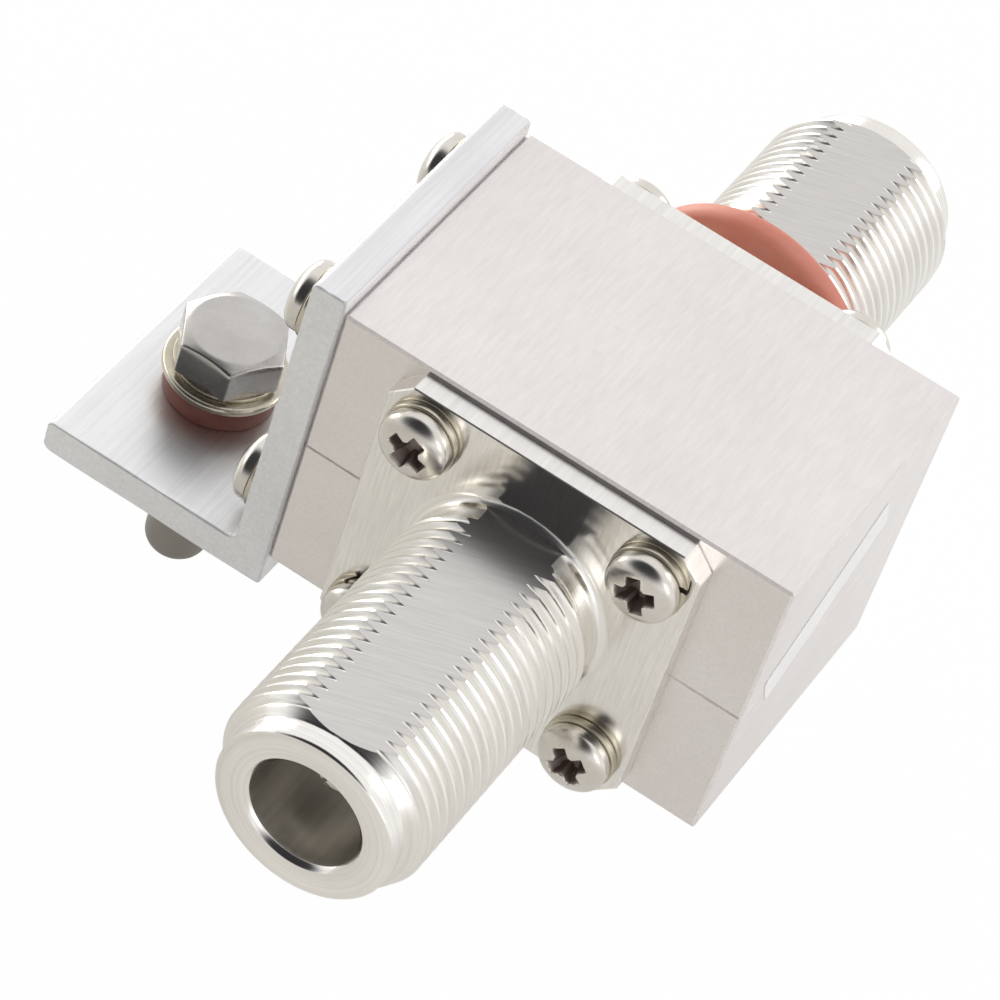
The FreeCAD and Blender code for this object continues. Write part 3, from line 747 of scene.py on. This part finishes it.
# Ground bolt: an M5 hex screw, nickel plated steel, turned into the leg. Its
# head's corners are turned off, and below its thread the end is plain and round.
bolt_x = -29.38
bolt_y = -32.15
fibre_thick = 2.1
flat_thick = 0.65
spring_thick = 0.35
fibre_top_z = leg_top_z + fibre_thick
flat_top_z = fibre_top_z + flat_thick
head_seat_z = flat_top_z + spring_thick
hex_flats = 7.6
hex_height = 3.25
hex_corner = hex_flats / 2 * 1.143
hex_turn = math.radians(-1.5)
hex_circle = 3.36
hex_fall = math.tan(math.radians(28))
bolt_length = 20.4
bolt_radius = 2.5
bolt_round = 1.6
bolt_pitch = 0.8
bolt_groove = 0.42
bolt_neck = 2.2
plain_length = 9.0


def hex_head():
    """Rows from the seat up the six flats and over the chamfer to the middle.
    The outline's radius is half the flats over the cosine of the angle from
    the nearest flat's middle, and a shallow cone cuts its corners."""
    turn = np.radians(np.unique(np.round(np.concatenate([
        np.arange(0, 360, 4.0), *[[a - 1.2, a, a + 1.2] for a in range(-2, 358, 60)]]) % 360, 3)))
    local = (turn - hex_turn) % math.radians(60) - math.radians(30)
    outline = np.minimum((hex_flats / 2) / np.cos(local), hex_corner)
    rows = [(outline * 0.4, 0.0), (outline - 0.15, 0.0), (outline, 0.12)]
    for h in np.linspace(0.5, hex_height - 0.9, 5):
        rows.append((outline, h))
    top = hex_height - (outline - hex_circle) * hex_fall
    rows += [(outline, top - 0.1), (outline - 0.03, top - 0.02), (outline - 0.09, top + 0.05)]
    for part in (0.7, 0.45):
        r = hex_circle + (outline - hex_circle) * part
        rows.append((r, hex_height - (r - hex_circle) * hex_fall))
    for r, drop in ((0.1, 0.06), (0.0, 0.025), (-0.1, 0.004), (-0.25, 0.0)):
        rows.append((hex_circle + r, hex_height - drop))
    for r in (2.8, 2.4, 1.6, 0.8, 0.1):
        rows.append((r, hex_height - 0.04 * (1 - r / 3.0)))
    return grid_faces(turned(rows, turn), caps=True)


def bolt_shank():
    """A right-handed thread about +Z, whose radius falls from the crest by a
    groove that goes by height over pitch less the share of a turn. It fades
    out into a plain length, and the end is rounded off."""
    turn = np.radians(np.arange(0, 360, 6.0))
    plain = bolt_radius - 0.03
    rows = [(0.05, -bolt_length)]
    for bend in np.radians(np.linspace(0, 90, 9)):
        rows.append((plain - bolt_round * (1 - math.sin(bend)),
                     bolt_round * (1 - math.cos(bend)) - bolt_length))
    rows.append((plain, -bolt_length + plain_length - 0.5))
    for z in np.arange(-bolt_length + plain_length, -0.9, bolt_pitch / 9):
        wave = (z / bolt_pitch - turn / (2 * math.pi)) % 1.0
        flank = np.clip((abs(wave - 0.5) * 2 - 0.2) / 0.62, 0, 1)
        fade = min(1, (z + bolt_length - plain_length) / 1.2)
        rows.append((plain - bolt_groove * (1 - flank) * fade, z))
    rows += [(bolt_neck, -0.85), (bolt_neck, 0.1)]
    return grid_faces(turned(rows, turn), caps=True)


bolt_plate = finish_material("bolt_plate", (0.58, 0.56, 0.54), (0.49, 0.47, 0.445), 0.22, 0.34,
                             line_scale=2200.0, line_height=0.3, blotch=260.0, spots=0.5)
tree = bolt_plate.node_tree
place = node(tree, "TexCoord")
apart = node(tree, "SeparateXYZ")
# Below the head the shank gets a darker colour, painted shade, for the end that stands out under the leg.
lower_end = node(tree, "Math", {1: (head_seat_z - 1) * mm}, operation="LESS_THAN")
wire(tree, (place, "Object", apart, 0), (apart, "Z", lower_end, 0))
zone(bolt_plate, lower_end.outputs[0], (0.30, 0.28, 0.25), 0.36)
bolt_at = (bolt_x, bolt_y, head_seat_z)
bolt = new_piece("hex_bolt", [placed(hex_head(), (0, 0, 1), bolt_at, 0),
                              placed(bolt_shank(), (0, 0, 1), bolt_at, 0)], 32)
dress(bolt, bolt_plate)
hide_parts("ground_bolt")
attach(bolt, "bolt")

# Washers under the bolt's head: a split one, a flat one pressed from plated
# steel, and at the bottom one of dark red fibre that lies on the leg.


def pressed_ring(inner, outer, bottom, thick, top_round, foot_round=0.15):
    """A section with rounded corners turned about +Z at the bolt's axis."""
    turn = np.radians(np.arange(0, 360, 3.0))
    section = [(inner, bottom + 0.08), (inner + 0.08, bottom)]
    for bend in np.radians(np.linspace(-90, 0, 5)):
        section.append((outer - foot_round * (1 - math.cos(bend)),
                        bottom + foot_round * (1 + math.sin(bend))))
    top = bottom + thick
    for bend in np.radians(np.linspace(0, 90, 6)):
        section.append((outer - top_round * (1 - math.cos(bend)), top - top_round * (1 - math.sin(bend))))
    section += [(inner + 0.08, top), (inner, top - 0.08)]
    return grid_faces(turned(section, turn) + np.array([bolt_x, bolt_y, 0]), wrap_rows=True)


spring_ring = split_ring(2.6, 4.0, spring_thick, gap_degrees=7.0, lift=0.03, round_edge=0.08)
bolt_spring_ring = new_piece("bolt_split_washer",
                             [placed(spring_ring, (0, 0, 1), (bolt_x, bolt_y, flat_top_z), 125)], 40)
dress(bolt_spring_ring, washer_steel)
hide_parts("ground_lock_washer")
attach(bolt_spring_ring, "lifting_washer")
flat_ring = new_piece("bolt_flat_washer",
                      [pressed_ring(2.6, 4.72, fibre_top_z, flat_thick, top_round=0.3)], 40)
dress(flat_ring, washer_steel)
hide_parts("ground_flat_washer")
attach(flat_ring, "arrestor")
red_fibre = finish_material("red_fibre", (0.23, 0.078, 0.058), (0.30, 0.12, 0.09), 0.45, 0.65, metallic=0.0,
                            stretch=(1, 1, 0.3), line_scale=2500.0, line_height=0.3, blotch=500.0)
fibre_ring = new_piece("bolt_fibre_washer",
                       [pressed_ring(2.55, 4.25, leg_top_z, fibre_thick, top_round=0.2)], 40)
dress(fibre_ring, red_fibre)
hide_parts("fibre_washer")
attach(fibre_ring, "arrestor")

# Label: a thin white strip of coated paper, stuck at a slant on the right side.
label_length = 15.6
label_width = 4.0
label_middle = (18.21, -32.78, 3.4)
label_slant = 29


def label_surface():
    """A rectangle with small corner rounds, a tenth of a millimetre thick, whose
    face rises and falls a few hundredths and lies on the housing's side."""
    along = np.concatenate([[-1, -0.985], np.linspace(-0.95, 0.95, 40), [0.985, 1]]) * label_length / 2
    across = np.concatenate([[-1, -0.94], np.linspace(-0.85, 0.85, 12), [0.94, 1]]) * label_width / 2
    u, v = np.meshgrid(along, across, indexing="ij")
    end = np.clip((abs(u) - label_length / 2 + 0.3) / 0.3, 0, 1)
    v = v * (1 - 0.08 * end ** 2)
    edge = np.minimum(label_length / 2 - abs(u), label_width / 2 - abs(v))
    lift = 0.055 + 0.03 * np.clip(edge / 0.12, 0, 1) + 0.006 * np.sin(u * 1.7) * np.cos(v * 2.1)
    lean = math.radians(label_slant)
    y = label_middle[1] + u * math.cos(lean) - v * math.sin(lean)
    z = label_middle[2] + u * math.sin(lean) + v * math.cos(lean)
    face = np.stack([label_middle[0] + lift, y, z], axis=-1)
    back = np.stack([np.full_like(lift, label_middle[0] + 0.004), y, z], axis=-1)
    rims = [np.concatenate([m[0, :-1], m[:-1, -1], m[-1, :0:-1], m[:0:-1, 0]]) for m in (back, face)]
    return [grid_faces(face, wrap_cols=False), grid_faces(back, wrap_cols=False), grid_faces(np.stack(rims))]


label_paper = finish_material("label_paper", (0.97, 0.97, 0.97), (0.93, 0.93, 0.935), 0.45, 0.6,
                              metallic=0.0, line_scale=900.0, line_height=0.1, blotch=350.0)
label = new_piece("label_strip", label_surface(), 40)
dress(label, label_paper)
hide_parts("side_label")
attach(label, "arrestor")

# Inner line: the slotted socket contacts, silver plated, in their fluoropolymer
# insulators, and behind them in the chamber the surge parts.
contact_plate = finish_material("contact_plate", (0.84, 0.81, 0.76), (0.76, 0.72, 0.66), 0.18, 0.3,
                                stretch=(0.06, 1.0, 0.06), line_scale=9000.0, line_height=0.2, blotch=400.0)
ptfe = finish_material("ptfe", (0.88, 0.88, 0.86), (0.82, 0.82, 0.79), 0.35, 0.5, metallic=0.0)
ceramic = finish_material("tube_ceramic", (0.86, 0.85, 0.81), (0.78, 0.76, 0.72), 0.35, 0.5, metallic=0.0)
disc_glaze = finish_material("capacitor_glaze", (0.42, 0.22, 0.10), (0.34, 0.17, 0.08), 0.25, 0.4,
                             metallic=0.0, line_height=0.1)
copper = finish_material("coil_copper", (0.78, 0.42, 0.27), (0.60, 0.32, 0.20), 0.22, 0.35,
                         line_scale=2500.0)
ground_steel = finish_material("ground_steel", (0.60, 0.60, 0.60), (0.50, 0.50, 0.50), 0.25, 0.38,
                               stretch=(1, 1, 0.05), line_scale=4000.0, line_height=0.2, blotch=200.0)
for material, names in ((contact_plate, ("front_contact", "rear_contact")),
                        (ptfe, ("front_insulator", "rear_insulator")), (ceramic, ("gas_tube",)),
                        (disc_glaze, ("blocking_capacitor",)), (copper, ("shunt_coil",)),
                        (ground_steel, ("gas_tube_spring", "coil_ground_screw", "alignment_pins"))):
    for name in names:
        dress(nodes[name], material)

# Floor and light: a white sweep under the part, a large lamp behind on the left,
# two long low ones on the left, one behind on the right and one right in front.
floor_z = -29.6
curve = [(-600, 0), (-300, 0), (0, 0), (300, 0), (420, 25), (500, 90), (540, 200), (560, 600)]
sweep = np.array([[(x, y, floor_z + z) for x in np.linspace(-700, 700, 9)] for y, z in curve])
floor = new_piece("studio_floor", [grid_faces(sweep, wrap_cols=False)], 60)
paper = bpy.data.materials.new("studio_paper")
paper.use_nodes = True
tree = paper.node_tree
paper_shader = tree.nodes["Principled BSDF"]
paper_shader.inputs["Roughness"].default_value = 0.9
place = node(tree, "TexCoord")
apart = node(tree, "SeparateXYZ")
# In front of the part the paper is darker and warmer, more so to its left: a painted shadow of the part,
# which the metal mirrors.
front = node(tree, "MapRange", {"From Min": -0.02, "From Max": -0.075}, interpolation_type="SMOOTHSTEP")
across = node(tree, "MapRange", {"From Min": -0.03, "From Max": 0.0}, interpolation_type="SMOOTHSTEP")
near = node(tree, "Mix", {"A": (0.72, 0.692, 0.612, 1), "B": (0.875, 0.848, 0.785, 1)}, data_type="RGBA")
shade = node(tree, "Mix", {"A": (0.88, 0.87, 0.85, 1)}, data_type="RGBA")
wire(tree, (place, "Object", apart, 0), (apart, "X", across, "Value"), (across, "Result", near, "Factor"),
     (near, "Result", shade, "B"), (apart, "Y", front, "Value"), (front, "Result", shade, "Factor"),
     (shade, "Result", paper_shader, "Base Color"))


def white_for_camera(tree, shaded, end, share_seen, share_mirrored):
    """White, at a strength of 1, mixed over the shaded surface by one share for
    camera rays and another for rays that metal mirrors or that pass through.
    Returns the socket of the mirrored share."""
    white = node(tree, "Emission", {"Strength": 1.0})
    ray = node(tree, "LightPath")
    seen = node(tree, "Math", {1: share_seen}, operation="MULTIPLY")
    mirrored = node(tree, "Math", {1: share_mirrored}, operation="MULTIPLY")
    through = node(tree, "Math", operation="MAXIMUM")
    either = node(tree, "Math", operation="ADD")
    blend = node(tree, "MixShader")
    wire(tree, (ray, "Is Camera Ray", seen, 0), (ray, "Is Glossy Ray", through, 0),
         (ray, "Is Transmission Ray", through, 1), (through, 0, mirrored, 0), (seen, 0, either, 0),
         (mirrored, 0, either, 1), (either, 0, blend, "Fac"))
    tree.links.new(shaded, blend.inputs[1])
    tree.links.new(white.outputs[0], blend.inputs[2])
    tree.links.new(blend.outputs[0], end)
    return mirrored.inputs[1]


# Metal mirrors the paper whiter the further it lies behind the part or to its right.
mirrored_share = white_for_camera(tree, paper_shader.outputs[0],
                                  tree.nodes["Material Output"].inputs["Surface"], 0.985, 0.3)
behind = node(tree, "MapRange", {"From Min": -0.02, "From Max": 0.08, "To Min": 0.3, "To Max": 0.95})
rightward = node(tree, "Math", {1: 0.0}, operation="MAXIMUM")
further = node(tree, "Math", {1: 0.8}, operation="MULTIPLY_ADD")
wire(tree, (apart, "X", rightward, 0), (rightward, 0, further, 0), (apart, "Y", further, 2),
     (further, 0, behind, "Value"))
tree.links.new(behind.outputs["Result"], mirrored_share)
dress(floor, paper)

# Room: bright all round, with a dark part high in front that the metal mirrors.
scene = bpy.context.scene
scene.world = bpy.data.worlds.new("studio")
scene.world.use_nodes = True
tree = scene.world.node_tree
background = tree.nodes["Background"]
way = node(tree, "TexCoord")
nearness = node(tree, "VectorMath", {1: (-0.2, -0.69, 0.695)}, operation="DOT_PRODUCT")
dark = node(tree, "MapRange", {"From Min": 0.60, "From Max": 0.86}, interpolation_type="SMOOTHSTEP")
room = node(tree, "Mix", {"A": (1.01, 1.01, 1.015, 1), "B": (0.035, 0.035, 0.04, 1)}, data_type="RGBA")
wire(tree, (way, "Generated", nearness, 0), (nearness, "Value", dark, "Value"),
     (dark, "Result", room, "Factor"), (room, "Result", background, "Color"))
white_for_camera(tree, background.outputs[0], tree.nodes["World Output"].inputs["Surface"], 1.0, 0.0)


def lamp(name, place, aim, size, radiance, colour=(1, 1, 1)):
    """An area lamp, its place, aim and size in millimetres. Its power is the
    wanted radiance times pi times its area in square metres."""
    data = bpy.data.lights.new(name, "AREA")
    data.shape = "RECTANGLE"
    data.size, data.size_y = size[0] * mm, size[1] * mm
    data.energy = radiance * math.pi * data.size * data.size_y
    data.color = colour
    made = bpy.data.objects.new(name, data)
    place, aim = Vector(place), Vector(aim)
    made.location = place * mm
    made.rotation_euler = (aim - place).to_track_quat("-Z", "Y").to_euler()
    scene.collection.objects.link(made)


lamp("left_back", (-400, 340, 60), (0, -30, 0), (300, 260), 2.5, (1.0, 0.985, 0.93))
lamp("left_low", (-190, 110, 0), (0, -20, 0), (150, 90), 3.0, (1.0, 0.98, 0.90))
lamp("left", (-300, -20, 40), (0, -40, 0), (220, 110), 1.7, (1.0, 0.98, 0.90))
lamp("right_back", (280, 300, 180), (0, -30, 0), (180, 240), 1.5)
lamp("right_front", (320, -260, 110), (0, -30, 0), (120, 160), 1.5)

# Camera: at the photograph's place and angle, with a long lens and some roll.
view = bpy.data.cameras.new("view")
view.sensor_width = 36
view.lens = 183.19
view.clip_start, view.clip_end = 0.01, 10
camera = bpy.data.objects.new("view", view)
scene.collection.objects.link(camera)
camera.location = (0.066479, -0.273292, 0.252844)
camera.rotation_euler = [math.radians(a) for a in (42.435, -13.777, 31.424)]
scene.camera = camera
scene.view_settings.view_transform = "Standard"
